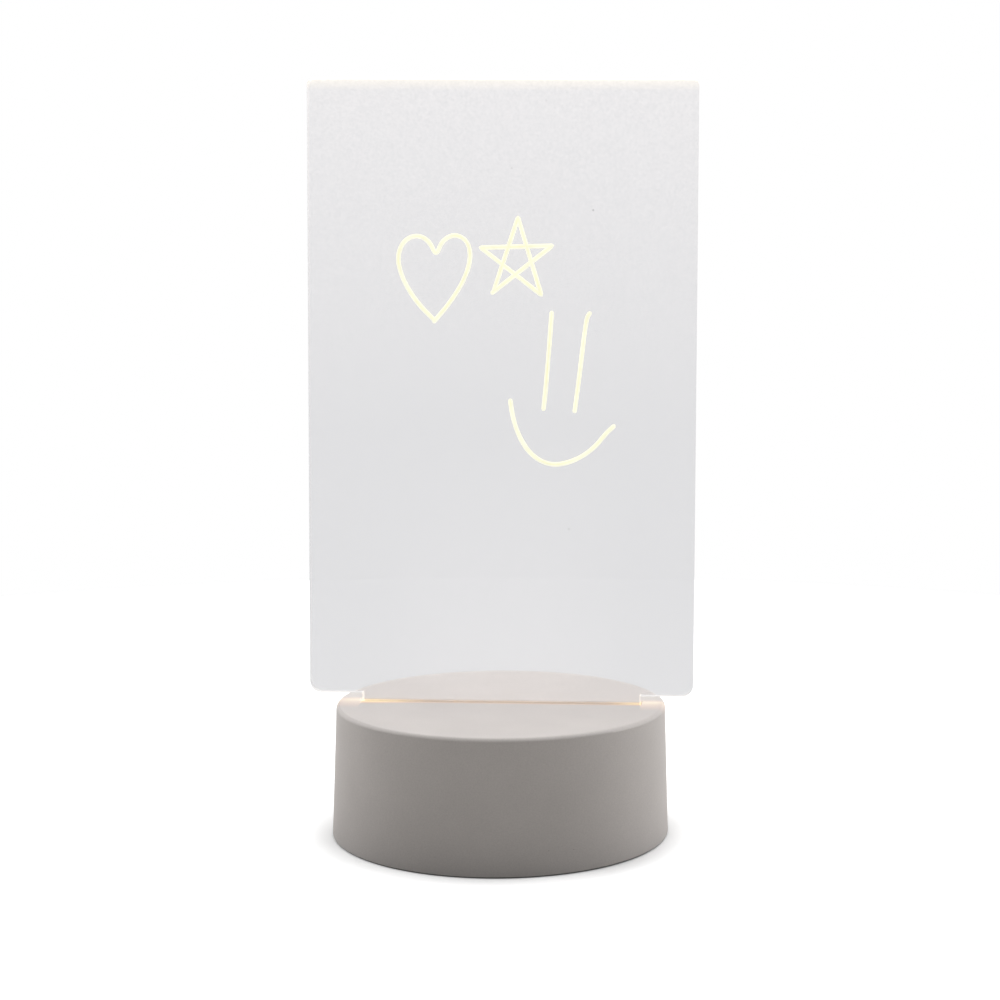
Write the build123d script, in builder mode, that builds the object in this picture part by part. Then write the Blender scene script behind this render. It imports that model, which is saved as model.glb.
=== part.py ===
from build123d import *
from math import radians, tan
import os

os.makedirs("parts", exist_ok=True)

# Lengths are in millimetres. X runs to the right along the slot, Y to the back and Z up.
# The origin lies on the table, under the middle of the base.

# Every cut runs past the faces that it opens by this much.
overrun = 1.0

# Memo board: a clear acrylic sheet whose tongue stands in the base.
board_width = 120.0
board_face_height = 190.0
board_thickness = 4.0
board_top_corner_radius = 2.0
board_bottom_corner_radius = 3.7
shoulder_gap = 2.5
tongue_depth = 9.0
tongue_corner_radius = 1.0

# Base shell: one drafted moulding that is open underneath.
shell_bottom_diameter = 105.0
shell_top_diameter = 102.5
shell_height = 40.0
shell_wall = 2.4
shell_edge_radius = 1.2
tongue_end_margin = 7.75
slot_side_clearance = 0.5
slot_lead_in = 0.4
rib_thickness = 1.4
rib_depth = 5.0

# Bottom cover: a disc let into the shell's lower edge.
cover_thickness = 2.4
cover_recess = 0.2
cover_clearance = 0.2
cover_lip = 1.2
cover_rib_end_margin = 21.1
cover_rib_height = 1.6

# Feet: rubber pads glued into shallow recesses of the cover.
foot_count = 4
foot_diameter = 10.0
foot_inset = 10.5
foot_first_angle = 45
foot_stand_out = 0.5
foot_recess_depth = 0.8
foot_clearance = 0.15

# Cover screws: self-tapping pan heads, sunk in counterbores.
cover_screw_count = 3
cover_screw_inset = 9.5
cover_screw_first_angle = 30
cover_screw_head_radius = 2.75
cover_screw_head_height = 1.2
cover_screw_shank_radius = 1.2
cover_screw_length = 10.0
cover_hole_radius = 1.6
cover_boss_radius = 3.6
counterbore_clearance = 0.25
head_sink = 0.1
pilot_clearance = 0.05
pilot_spare_depth = 1.0

# Light trough: holds the LED board and guides the tongue above it.
guide_clearance = 0.3
tongue_end_clearance = 0.5
ledge_reach = 1.5
trough_wall = 1.6
trough_foot_height = 2.6
gusset_count = 8
gusset_end_margin = 10.6
gusset_thickness = 1.0
gusset_height = 4.0

# Trough screws: they pass the clamp plate and the trough's ears into the shell's bosses.
trough_screw_inset = 7.6
trough_screw_y = 12.0
trough_screw_head_radius = 2.2
trough_screw_head_height = 1.2
trough_screw_shank_radius = 1.0
trough_screw_length = 9.0
trough_hole_radius = 1.35
trough_boss_radius = 2.9
ear_radius = 3.2

# Clamp plate: presses the LED board against the trough.
clamp_thickness = 1.6
clamp_window_length = 8.0
clamp_window_width = 4.0

# LED board: a long narrow circuit board with eight LEDs and their resistors.
led_board_width = 8.0
led_board_thickness = 1.2
led_board_clearance = 0.2
led_count = 8
led_end_margin = 6.8
led_length = 3.5
led_width = 2.8
led_height = 0.7
led_gap = 1.1
led_corner_chamfer = 0.5
resistor_length = 2.0
resistor_width = 1.25
resistor_height = 0.5

# Control board: stands in two card guides behind the inlet and the button.
control_board_width = 32.0
control_board_height = 27.0
control_board_thickness = 1.6
control_board_level = 6.0
card_clearance = 0.15
card_groove_depth = 1.2
card_rail_thickness = 2.6
card_rail_lip = 1.5
card_post_width = 3.0
card_post_offset = 11.0

# USB-C inlet: an upright socket whose mouth is flush with the floor of a recess.
inlet_level = 13.0
inlet_width = 8.94
inlet_height = 3.26
inlet_corner_radius = 1.5
inlet_shell_wall = 0.3
inlet_length = 10.5
inlet_mouth_depth = 6.2
inlet_clearance = 0.15
inlet_tongue_width = 6.69
inlet_tongue_height = 0.7
inlet_tongue_setback = 0.6
inlet_insulator_clearance = 0.05
recess_width = 13.0
recess_height = 7.4
recess_corner_radius = 2.0
recess_floor_thickness = 1.2

# Power button and the push switch behind it.
button_level = 25.5
button_diameter = 7.8
button_clearance = 0.25
button_stand_out = 1.5
button_travel = 1.5
button_flange_diameter = 10.4
button_flange_thickness = 1.0
button_seat_gap = 0.1
button_chamfer = 0.6
switch_size = 7.0
switch_height = 6.0
switch_round = 0.4
plunger_size = 3.0
plunger_clearance = 0.1
plunger_in_housing = 2.6
plunger_in_button = 2.5
pad_width = 20.0
pad_top_margin = 3.0
pad_stand_in = 2.45

# Parts on the control board's inner face.
chip_width = 3.9
chip_length = 4.9
chip_height = 1.5
chip_place_x = 10.0
chip_place_z = 25.5
chip_leg_count = 4
chip_leg_pitch = 1.27
chip_leg_width = 0.45
chip_leg_reach = 1.05
chip_leg_height = 0.7
can_diameter = 6.3
can_height = 5.8
can_base_size = 6.6
can_base_height = 0.9
can_base_chamfer = 1.2
can_place_x = -9.5
can_place_z = 25.5
board_resistor_count = 3
board_resistor_pitch = 3.0
board_resistor_z = 23.5

# Connector and leads between the two boards.
header_width = 7.5
header_height = 5.8
header_depth = 7.0
header_wall = 0.6
header_floor = 1.6
header_level = 14.5
plug_clearance = 0.1
plug_stand_out = 1.8
lead_radius = 0.65
lead_pitch = 2.5
lead_run_share = 0.45

# Levels and places that follow from the sizes above.
shell_bottom = foot_stand_out
shell_top = shell_bottom + shell_height
ceiling = shell_top - shell_wall
shoulder_level = shell_top + shoulder_gap
tongue_bottom = shell_top - tongue_depth
cover_bottom = shell_bottom + cover_recess
cover_top = cover_bottom + cover_thickness
shell_bottom_radius = shell_bottom_diameter / 2
shell_top_radius = shell_top_diameter / 2
widest_radius = max(shell_bottom_radius, shell_top_radius)
rabbet_radius = shell_bottom_radius - cover_lip
cover_radius = rabbet_radius - cover_clearance
cover_rib_length = 2 * (cover_radius - cover_rib_end_margin)
tongue_width = shell_top_diameter - 2 * tongue_end_margin
led_board_top = tongue_bottom - led_gap - led_height
led_board_bottom = led_board_top - led_board_thickness
clamp_bottom = led_board_bottom - clamp_thickness
trough_foot_top = led_board_bottom + trough_foot_height
guide_width = board_thickness + 2 * guide_clearance
guide_length = tongue_width + 2 * tongue_end_clearance
light_slot_length = tongue_width - 2 * ledge_reach
chimney_width = guide_width + 2 * trough_wall
trough_length = guide_length + 2 * trough_wall
trough_foot_width = led_board_width + 2 * led_board_clearance + 2 * trough_wall
led_board_length = light_slot_length - 2 * led_board_clearance
led_pitch = (led_board_length - 2 * led_end_margin) / (led_count - 1)
gusset_pitch = (trough_length - 2 * gusset_end_margin) / (gusset_count - 1)

# The shell's draft brings its outer face in as it rises. The pad behind the inlet and the
# button stands clear of the wall at both of its ends.
draft_per_height = (shell_bottom_radius - shell_top_radius) / shell_height
pad_top = button_level + button_flange_diameter / 2 + pad_top_margin
inlet_wall_y = shell_bottom_radius - draft_per_height * (inlet_level - shell_bottom)
button_wall_y = shell_bottom_radius - draft_per_height * (button_level - shell_bottom)
pad_top_wall_y = shell_bottom_radius - draft_per_height * (pad_top - shell_bottom)
pad_y = min(inlet_wall_y, pad_top_wall_y) - shell_wall - pad_stand_in
recess_floor_y = pad_y + recess_floor_thickness
board_rear_y = recess_floor_y - inlet_length
board_front_y = board_rear_y - control_board_thickness
switch_front_y = board_rear_y + switch_height
flange_rear_y = pad_y - button_seat_gap
flange_front_y = flange_rear_y - button_flange_thickness
button_face_y = button_wall_y + button_stand_out
button_hole_radius = button_diameter / 2 + button_clearance
control_board_top = control_board_level + control_board_height
groove_half_width = control_board_width / 2 + card_clearance
rail_inner_half_width = groove_half_width - card_groove_depth
header_front_y = board_front_y - header_depth
plug_front_y = header_front_y - plug_stand_out

# Centres of the feet and the screws, seen from above
foot_circle_radius = shell_bottom_radius - foot_inset
cover_screw_circle_radius = shell_bottom_radius - cover_screw_inset
trough_screw_x = trough_length / 2 - trough_screw_inset
trough_screw_places = [(-trough_screw_x, -trough_screw_y), (trough_screw_x, trough_screw_y)]


def upright_plane(y):
    """A plane that faces the front at depth y: its local x is X and its local y is Z."""
    return Plane(origin=(0, y, 0), x_dir=(1, 0, 0), z_dir=(0, -1, 0))


def pan_screw(head_radius, head_height, shank_radius, shank_length):
    """A pan-head screw that points up, with the seat of its head at the origin."""
    cross_width = head_radius / 4
    with BuildPart() as screw:
        with BuildSketch(Plane.XY.offset(-head_height)):
            Circle(head_radius)
        extrude(amount=head_height)
        with BuildSketch(Plane.XY):
            Circle(shank_radius)
        extrude(amount=shank_length)
        with BuildSketch(Plane.XY.offset(-head_height)):
            Rectangle(head_radius, cross_width)
            Rectangle(cross_width, head_radius)
        extrude(amount=head_height / 2, mode=Mode.SUBTRACT)
    return screw.part


# Memo board
with BuildPart() as memo_board:
    with BuildSketch(upright_plane(board_thickness / 2)) as board_outline:
        with Locations((0, shoulder_level)):
            Rectangle(board_width, board_face_height, align=(Align.CENTER, Align.MIN))
        fillet(board_outline.vertices().group_by(Axis.Y)[-1], board_top_corner_radius)
        fillet(board_outline.vertices().group_by(Axis.Y)[0], board_bottom_corner_radius)
    extrude(amount=board_thickness)
    with BuildSketch(upright_plane(board_thickness / 2)) as tongue_outline:
        with Locations((0, tongue_bottom)):
            Rectangle(
                tongue_width,
                shoulder_level + board_bottom_corner_radius - tongue_bottom,
                align=(Align.CENTER, Align.MIN),
            )
        fillet(tongue_outline.vertices().group_by(Axis.Y)[0], tongue_corner_radius)
    extrude(amount=board_thickness)

memo_board.part.label = "memo_board"
export_step(memo_board.part, "parts/memo_board.step")

# Outer form of the base, which also trims what grows inside the shell
with BuildPart() as base_form:
    with BuildSketch(Plane.XZ):
        with BuildLine():
            Polyline(
                (0, shell_bottom),
                (shell_bottom_radius, shell_bottom),
                (shell_top_radius, shell_top),
                (0, shell_top),
                close=True,
            )
        make_face()
    revolve(axis=Axis.Z)
    fillet(base_form.edges().group_by(Axis.Z)[-1], shell_edge_radius)

# Base shell
with BuildPart() as base_shell:
    add(base_form.part)
    with BuildSketch(Plane.XZ):
        with BuildLine():
            Polyline(
                (0, shell_bottom),
                (shell_bottom_radius - shell_wall, shell_bottom),
                (shell_top_radius - shell_wall, ceiling),
                (0, ceiling),
                close=True,
            )
        make_face()
    revolve(axis=Axis.Z, mode=Mode.SUBTRACT)

    # Bosses for the cover screws, each tied to the wall by a rib
    with BuildSketch(Plane.XY.offset(cover_top)):
        with PolarLocations(cover_screw_circle_radius, cover_screw_count, cover_screw_first_angle):
            Circle(cover_boss_radius)
    extrude(amount=ceiling - cover_top)
    with BuildSketch(Plane.XY.offset(cover_top)):
        with PolarLocations(cover_screw_circle_radius, cover_screw_count, cover_screw_first_angle):
            Rectangle(
                widest_radius - cover_screw_circle_radius,
                rib_thickness,
                align=(Align.MIN, Align.CENTER),
            )
    extrude(amount=ceiling - cover_top)

    # Bosses for the trough screws, each tied to the wall by a shallow rib
    with BuildSketch(Plane.XY.offset(trough_foot_top)):
        with Locations(*trough_screw_places):
            Circle(trough_boss_radius)
    extrude(amount=ceiling - trough_foot_top)
    with BuildSketch(Plane.XY.offset(ceiling - rib_depth)):
        with Locations(trough_screw_places[0]):
            Rectangle(widest_radius, rib_thickness, align=(Align.MAX, Align.CENTER))
        with Locations(trough_screw_places[1]):
            Rectangle(widest_radius, rib_thickness, align=(Align.MIN, Align.CENTER))
    extrude(amount=rib_depth)

    # Flat pad inside the back wall, behind the inlet and the button
    with BuildSketch(Plane.XY.offset(cover_top)):
        with Locations((0, pad_y)):
            Rectangle(pad_width, widest_radius - pad_y, align=(Align.CENTER, Align.MIN))
    extrude(amount=pad_top - cover_top)

    # Card guides for the control board
    rail_depth = widest_radius - board_front_y + card_rail_lip
    rail_middle_x = rail_inner_half_width + card_rail_thickness / 2
    with BuildSketch(Plane.XY.offset(cover_top)):
        with Locations((0, board_front_y - card_rail_lip)):
            with GridLocations(2 * rail_middle_x, 0, 2, 1):
                Rectangle(card_rail_thickness, rail_depth, align=(Align.CENTER, Align.MIN))
    extrude(amount=ceiling - cover_top)
    with BuildSketch(Plane.XY.offset(cover_top - overrun)):
        with Locations((0, board_front_y - card_clearance)):
            Rectangle(
                2 * groove_half_width,
                control_board_thickness + 2 * card_clearance,
                align=(Align.CENTER, Align.MIN),
            )
    extrude(amount=control_board_top + card_clearance - cover_top + overrun, mode=Mode.SUBTRACT)
    add(base_form.part, mode=Mode.INTERSECT)

    # Seat for the bottom cover
    with BuildSketch(Plane.XY.offset(shell_bottom - overrun)):
        Circle(rabbet_radius)
    extrude(amount=cover_top - shell_bottom + overrun, mode=Mode.SUBTRACT)

    # Pilot holes
    with BuildSketch(Plane.XY.offset(cover_top - overrun)):
        with PolarLocations(cover_screw_circle_radius, cover_screw_count, cover_screw_first_angle):
            Circle(cover_screw_shank_radius + pilot_clearance)
    extrude(amount=cover_screw_length + pilot_spare_depth + overrun, mode=Mode.SUBTRACT)
    with BuildSketch(Plane.XY.offset(trough_foot_top - overrun)):
        with Locations(*trough_screw_places):
            Circle(trough_screw_shank_radius + pilot_clearance)
    extrude(amount=trough_screw_length - clamp_thickness - trough_foot_height + pilot_spare_depth
            + overrun, mode=Mode.SUBTRACT)

    # Slot for the tongue, eased at its mouth
    slot_width = board_thickness + 2 * slot_side_clearance
    with BuildSketch(Plane.XY.offset(ceiling - overrun)):
        Rectangle(guide_length, slot_width)
    extrude(amount=shell_wall + 2 * overrun, mode=Mode.SUBTRACT)
    slot_rim = base_shell.edges().group_by(Axis.Z)[-1].filter_by(GeomType.LINE)
    chamfer(slot_rim, slot_lead_in)

    # Recess and window for the inlet
    with BuildSketch(upright_plane(recess_floor_y)):
        with Locations((0, inlet_level)):
            RectangleRounded(recess_width, recess_height, recess_corner_radius)
    extrude(amount=-(widest_radius - recess_floor_y + overrun), mode=Mode.SUBTRACT)
    with BuildSketch(upright_plane(pad_y - overrun)):
        with Locations((0, inlet_level)):
            RectangleRounded(
                inlet_width + 2 * inlet_clearance,
                inlet_height + 2 * inlet_clearance,
                inlet_corner_radius + inlet_clearance,
            )
    extrude(amount=-(recess_floor_thickness + 2 * overrun), mode=Mode.SUBTRACT)

    # Hole for the button
    with BuildSketch(upright_plane(pad_y - overrun)):
        with Locations((0, button_level)):
            Circle(button_hole_radius)
    extrude(amount=-(widest_radius - pad_y + 2 * overrun), mode=Mode.SUBTRACT)

base_shell.part.label = "base_shell"
export_step(base_shell.part, "parts/base_shell.step")

# Bottom cover
with BuildPart() as bottom_cover:
    with BuildSketch(Plane.XY.offset(cover_bottom)):
        Circle(cover_radius)
    extrude(amount=cover_thickness)

    # Crossed ribs that stiffen the disc
    with BuildSketch(Plane.XY.offset(cover_top)):
        Rectangle(cover_rib_length, rib_thickness)
        Rectangle(rib_thickness, cover_rib_length)
    extrude(amount=cover_rib_height)

    # Posts that keep the control board up in its guides
    with BuildSketch(Plane.XY.offset(cover_top)):
        with Locations((0, board_front_y)):
            with GridLocations(2 * card_post_offset, 0, 2, 1):
                Rectangle(card_post_width, control_board_thickness, align=(Align.CENTER, Align.MIN))
    extrude(amount=control_board_level - cover_top)

    # Recesses for the feet
    with BuildSketch(Plane.XY.offset(cover_bottom - overrun)):
        with PolarLocations(foot_circle_radius, foot_count, foot_first_angle):
            Circle(foot_diameter / 2 + foot_clearance)
    extrude(amount=foot_recess_depth + overrun, mode=Mode.SUBTRACT)

    # Counterbored screw holes
    with BuildSketch(Plane.XY.offset(cover_bottom - overrun)):
        with PolarLocations(cover_screw_circle_radius, cover_screw_count, cover_screw_first_angle):
            Circle(cover_hole_radius)
    extrude(amount=cover_thickness + 2 * overrun, mode=Mode.SUBTRACT)
    with BuildSketch(Plane.XY.offset(cover_bottom - overrun)):
        with PolarLocations(cover_screw_circle_radius, cover_screw_count, cover_screw_first_angle):
            Circle(cover_screw_head_radius + counterbore_clearance)
    extrude(amount=cover_screw_head_height + head_sink + overrun, mode=Mode.SUBTRACT)

bottom_cover.part.label = "bottom_cover"
export_step(bottom_cover.part, "parts/bottom_cover.step")

# Cover screws
cover_screw = pan_screw(
    cover_screw_head_radius,
    cover_screw_head_height,
    cover_screw_shank_radius,
    cover_screw_length,
)
with BuildPart() as cover_screws:
    with Locations((0, 0, cover_bottom + cover_screw_head_height + head_sink)):
        with PolarLocations(cover_screw_circle_radius, cover_screw_count, cover_screw_first_angle):
            add(cover_screw)

cover_screws.part.label = "cover_screws"
export_step(cover_screws.part, "parts/cover_screws.step")

# Feet
foot_height = cover_bottom + foot_recess_depth
foot_places = PolarLocations(foot_circle_radius, foot_count, foot_first_angle).locations
for number, place in enumerate(foot_places, start=1):
    with BuildPart() as foot:
        with Locations((place.position.X, place.position.Y, 0)):
            Cylinder(
                foot_diameter / 2,
                foot_height,
                align=(Align.CENTER, Align.CENTER, Align.MIN),
            )
    foot.part.label = f"foot_{number}"
    export_step(foot.part, f"parts/foot_{number}.step")

# Ears that the trough and its clamp plate share, each round at its screw
with BuildSketch() as ears:
    for ear_x, ear_y in trough_screw_places:
        with Locations((ear_x, ear_y)):
            Circle(ear_radius)
        with Locations((ear_x, ear_y / 2)):
            Rectangle(2 * ear_radius, abs(ear_y))

# Light trough
with BuildPart() as light_trough:
    # Foot plate with an ear at each screw
    with BuildSketch(Plane.XY.offset(led_board_bottom)):
        Rectangle(trough_length, trough_foot_width)
        add(ears.sketch)
    extrude(amount=trough_foot_height)

    # Chimney that guides the tongue
    with BuildSketch(Plane.XY.offset(led_board_bottom)):
        Rectangle(trough_length, chimney_width)
    extrude(amount=ceiling - led_board_bottom)

    # Gussets between the chimney and the foot plate
    first_gusset_x = -gusset_pitch * (gusset_count - 1) / 2
    for index in range(gusset_count):
        with BuildSketch(Plane.YZ.offset(first_gusset_x + index * gusset_pitch)):
            with BuildLine():
                Polyline(
                    (-trough_foot_width / 2, trough_foot_top),
                    (trough_foot_width / 2, trough_foot_top),
                    (chimney_width / 2, trough_foot_top + gusset_height),
                    (-chimney_width / 2, trough_foot_top + gusset_height),
                    close=True,
                )
            make_face()
        extrude(amount=gusset_thickness / 2, both=True)

    # Pocket for the LED board, light slot, and guide for the tongue with a ledge at each end
    with BuildSketch(Plane.XY.offset(led_board_bottom - overrun)):
        Rectangle(light_slot_length, led_board_width + 2 * led_board_clearance)
    extrude(amount=led_board_thickness + overrun, mode=Mode.SUBTRACT)
    with BuildSketch(Plane.XY.offset(led_board_bottom)):
        Rectangle(light_slot_length, guide_width)
    extrude(amount=ceiling - led_board_bottom + overrun, mode=Mode.SUBTRACT)
    with BuildSketch(Plane.XY.offset(tongue_bottom)):
        Rectangle(guide_length, guide_width)
    extrude(amount=ceiling - tongue_bottom + overrun, mode=Mode.SUBTRACT)

    # Screw holes in the ears
    with BuildSketch(Plane.XY.offset(led_board_bottom - overrun)):
        with Locations(*trough_screw_places):
            Circle(trough_hole_radius)
    extrude(amount=trough_foot_height + 2 * overrun, mode=Mode.SUBTRACT)

light_trough.part.label = "light_trough"
export_step(light_trough.part, "parts/light_trough.step")

# Clamp plate under the LED board
with BuildPart() as clamp_plate:
    with BuildSketch(Plane.XY.offset(clamp_bottom)):
        Rectangle(trough_length, trough_foot_width)
        add(ears.sketch)
        with Locations(*trough_screw_places):
            Circle(trough_hole_radius, mode=Mode.SUBTRACT)
        SlotOverall(clamp_window_length, clamp_window_width, mode=Mode.SUBTRACT)
    extrude(amount=clamp_thickness)

clamp_plate.part.label = "clamp_plate"
export_step(clamp_plate.part, "parts/clamp_plate.step")

# Trough screws
trough_screw = pan_screw(
    trough_screw_head_radius,
    trough_screw_head_height,
    trough_screw_shank_radius,
    trough_screw_length,
)
with BuildPart() as trough_screws:
    with Locations((0, 0, clamp_bottom)):
        with Locations(*((x, y, 0) for x, y in trough_screw_places)):
            add(trough_screw)

trough_screws.part.label = "trough_screws"
export_step(trough_screws.part, "parts/trough_screws.step")

# LED board
with BuildPart() as led_board:
    with BuildSketch(Plane.XY.offset(led_board_bottom)):
        Rectangle(led_board_length, led_board_width)
    extrude(amount=led_board_thickness)

led_board.part.label = "led_board"
export_step(led_board.part, "parts/led_board.step")

# LEDs, each a small flat package with one corner cut to mark its polarity
first_led_x = -led_pitch * (led_count - 1) / 2
for index in range(led_count):
    with BuildPart() as led:
        with BuildSketch(Plane.XY.offset(led_board_top)) as led_outline:
            with Locations((first_led_x + index * led_pitch, 0)):
                Rectangle(led_width, led_length)
            chamfer(led_outline.vertices().group_by(Axis.Y)[0].sort_by(Axis.X)[0], led_corner_chamfer)
        extrude(amount=led_height)
    led.part.label = f"led_{index + 1}"
    export_step(led.part, f"parts/led_{index + 1}.step")

# Series resistors, one after each LED
with BuildPart() as led_resistors:
    with BuildSketch(Plane.XY.offset(led_board_top)):
        with Locations((led_pitch / 2, 0)):
            with GridLocations(led_pitch, 0, led_count, 1):
                Rectangle(resistor_width, resistor_length)
    extrude(amount=resistor_height)

led_resistors.part.label = "led_resistors"
export_step(led_resistors.part, "parts/led_resistors.step")

# Control board
with BuildPart() as control_board:
    with BuildSketch(upright_plane(board_rear_y)):
        with Locations((0, control_board_level)):
            Rectangle(control_board_width, control_board_height, align=(Align.CENTER, Align.MIN))
    extrude(amount=control_board_thickness)

control_board.part.label = "control_board"
export_step(control_board.part, "parts/control_board.step")

# USB-C inlet: drawn metal shell
with BuildPart() as inlet_shell:
    with BuildSketch(upright_plane(board_rear_y)):
        with Locations((0, inlet_level)):
            RectangleRounded(inlet_width, inlet_height, inlet_corner_radius)
    extrude(amount=-inlet_length)
    with BuildSketch(upright_plane(board_rear_y + inlet_shell_wall)):
        with Locations((0, inlet_level)):
            RectangleRounded(
                inlet_width - 2 * inlet_shell_wall,
                inlet_height - 2 * inlet_shell_wall,
                inlet_corner_radius - inlet_shell_wall,
            )
    extrude(amount=-inlet_length, mode=Mode.SUBTRACT)

inlet_shell.part.label = "inlet_shell"
export_step(inlet_shell.part, "parts/inlet_shell.step")

# USB-C inlet: insulator with its tongue
with BuildPart() as inlet_insulator:
    with BuildSketch(upright_plane(board_rear_y + inlet_shell_wall)):
        with Locations((0, inlet_level)):
            RectangleRounded(
                inlet_width - 2 * inlet_shell_wall - 2 * inlet_insulator_clearance,
                inlet_height - 2 * inlet_shell_wall - 2 * inlet_insulator_clearance,
                inlet_corner_radius - inlet_shell_wall - inlet_insulator_clearance,
            )
    extrude(amount=-(inlet_length - inlet_shell_wall - inlet_mouth_depth))
    with BuildSketch(upright_plane(board_rear_y + inlet_shell_wall)):
        with Locations((0, inlet_level)):
            Rectangle(inlet_tongue_width, inlet_tongue_height)
    extrude(amount=-(inlet_length - inlet_shell_wall - inlet_tongue_setback))

inlet_insulator.part.label = "inlet_insulator"
export_step(inlet_insulator.part, "parts/inlet_insulator.step")

# Push switch: housing
plunger_inner_y = switch_front_y - plunger_in_housing
with BuildPart() as switch_housing:
    with BuildSketch(upright_plane(board_rear_y)):
        with Locations((0, button_level)):
            Rectangle(switch_size, switch_size)
    extrude(amount=-switch_height)
    fillet(switch_housing.edges().filter_by(Axis.Y), switch_round)
    bore_depth = plunger_in_housing + button_travel + button_clearance
    with BuildSketch(upright_plane(switch_front_y - bore_depth)):
        with Locations((0, button_level)):
            Rectangle(plunger_size + 2 * plunger_clearance, plunger_size + 2 * plunger_clearance)
    extrude(amount=-(bore_depth + overrun), mode=Mode.SUBTRACT)

switch_housing.part.label = "switch_housing"
export_step(switch_housing.part, "parts/switch_housing.step")

# Push switch: plunger, which the button sits on
plunger_length = flange_front_y + plunger_in_button - plunger_inner_y
with BuildPart() as switch_plunger:
    with BuildSketch(upright_plane(plunger_inner_y)):
        with Locations((0, button_level)):
            Rectangle(plunger_size, plunger_size)
    extrude(amount=-plunger_length)

switch_plunger.part.label = "switch_plunger"
export_step(switch_plunger.part, "parts/switch_plunger.step")

# Power button
with BuildPart() as power_button:
    with BuildSketch(upright_plane(flange_front_y)):
        with Locations((0, button_level)):
            Circle(button_flange_diameter / 2)
    extrude(amount=-button_flange_thickness)
    with BuildSketch(upright_plane(flange_front_y)):
        with Locations((0, button_level)):
            Circle(button_diameter / 2)
    extrude(amount=-(button_face_y - flange_front_y))
    chamfer(power_button.edges().group_by(Axis.Y)[-1], button_chamfer)
    with BuildSketch(upright_plane(flange_front_y - overrun)):
        with Locations((0, button_level)):
            Rectangle(plunger_size, plunger_size)
    extrude(amount=-(plunger_in_button + overrun), mode=Mode.SUBTRACT)

power_button.part.label = "power_button"
export_step(power_button.part, "parts/power_button.step")

# Driver chip with its legs
with BuildPart() as driver_chip:
    with BuildSketch(upright_plane(board_front_y)):
        with Locations((chip_place_x, chip_place_z)):
            Rectangle(chip_width, chip_length)
    extrude(amount=chip_height)
    with BuildSketch(upright_plane(board_front_y)):
        with Locations((chip_place_x, chip_place_z)):
            with GridLocations(0, chip_leg_pitch, 1, chip_leg_count):
                Rectangle(chip_width + 2 * chip_leg_reach, chip_leg_width)
    extrude(amount=chip_leg_height)

driver_chip.part.label = "driver_chip"
export_step(driver_chip.part, "parts/driver_chip.step")

# Filter capacitor: a round can on a square base with two cut corners
with BuildPart() as filter_capacitor:
    with BuildSketch(upright_plane(board_front_y)) as can_base:
        with Locations((can_place_x, can_place_z)):
            Rectangle(can_base_size, can_base_size)
        chamfer(can_base.vertices().group_by(Axis.Y)[0], can_base_chamfer)
    extrude(amount=can_base_height)
    with BuildSketch(upright_plane(board_front_y)):
        with Locations((can_place_x, can_place_z)):
            Circle(can_diameter / 2)
    extrude(amount=can_height)

filter_capacitor.part.label = "filter_capacitor"
export_step(filter_capacitor.part, "parts/filter_capacitor.step")

# Resistors of the control board
with BuildPart() as board_resistors:
    with BuildSketch(upright_plane(board_front_y)):
        with Locations((0, board_resistor_z)):
            with GridLocations(board_resistor_pitch, 0, board_resistor_count, 1):
                Rectangle(resistor_width, resistor_length)
    extrude(amount=resistor_height)

board_resistors.part.label = "board_resistors"
export_step(board_resistors.part, "parts/board_resistors.step")

# Connector: header on the control board
with BuildPart() as lead_header:
    with BuildSketch(upright_plane(board_front_y)):
        with Locations((0, header_level)):
            Rectangle(header_width, header_height)
    extrude(amount=header_depth)
    with BuildSketch(upright_plane(board_front_y - header_floor)):
        with Locations((0, header_level)):
            Rectangle(header_width - 2 * header_wall, header_height - 2 * header_wall)
    extrude(amount=header_depth, mode=Mode.SUBTRACT)

lead_header.part.label = "lead_header"
export_step(lead_header.part, "parts/lead_header.step")

# Connector: plug on the leads
plug_trim = 2 * (header_wall + plug_clearance)
with BuildPart() as lead_plug:
    with BuildSketch(upright_plane(board_front_y - header_floor)):
        with Locations((0, header_level)):
            Rectangle(header_width - plug_trim, header_height - plug_trim)
    extrude(amount=header_depth - header_floor + plug_stand_out)

lead_plug.part.label = "lead_plug"
export_step(lead_plug.part, "parts/lead_plug.step")

# Leads from the LED board, down through the clamp plate and back to the plug
lead_route = [(0, led_board_bottom), (0, header_level), (plug_front_y, header_level)]
for lead_name, lead_x in (("positive_lead", -lead_pitch / 2), ("negative_lead", lead_pitch / 2)):
    corners = [Vector(lead_x, y, z) for y, z in lead_route]
    lead_radii = []
    for before, corner, after in zip(corners, corners[1:], corners[2:]):
        turn = (corner - before).get_angle(after - corner)
        shorter_run = min((corner - before).length, (after - corner).length)
        lead_radii.append(lead_run_share * shorter_run / tan(radians(turn / 2)))
    with BuildPart() as lead:
        with BuildLine() as lead_line:
            FilletPolyline(*corners, radius=lead_radii)
        with BuildSketch(Plane(origin=corners[0], z_dir=corners[1] - corners[0])):
            Circle(lead_radius)
        sweep(path=lead_line.wires()[0])
    print(lead_name, "radii", [round(radius, 1) for radius in lead_radii])
    lead.part.label = lead_name
    export_step(lead.part, f"parts/{lead_name}.step")
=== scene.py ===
import math

import bmesh
import bpy
from mathutils import Matrix, Vector


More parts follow.
